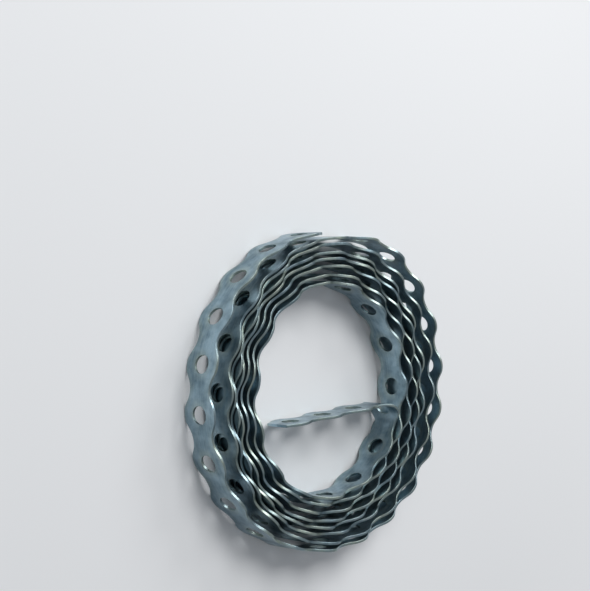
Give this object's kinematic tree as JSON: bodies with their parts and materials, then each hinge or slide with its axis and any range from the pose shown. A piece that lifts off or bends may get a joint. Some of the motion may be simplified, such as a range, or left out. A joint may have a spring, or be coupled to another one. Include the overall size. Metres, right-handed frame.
{
  "type": "perforated steel strap coil",
  "caption": "Narrow galvanized steel strap with wavy edges and a row of round holes, wound into a loose flat coil with its inner end bent across the open bore.",
  "frame": {"origin": "under the middle of the coil's outline, on the floor that the coil lies on", "axes": "+Z along the coil's axis, out of the end that faces the viewer in the picture; +X to the picture's right; +Y to the picture's top"},
  "size_m": [0.1012, 0.0944, 0.012],
  "materials": {
    "galvanized_steel": "satin hot-dip zinc, dark, with bright cut edges"
  },
  "bodies": {
    "root": {"strap": "galvanized_steel"}
  },
  "joints": []
}
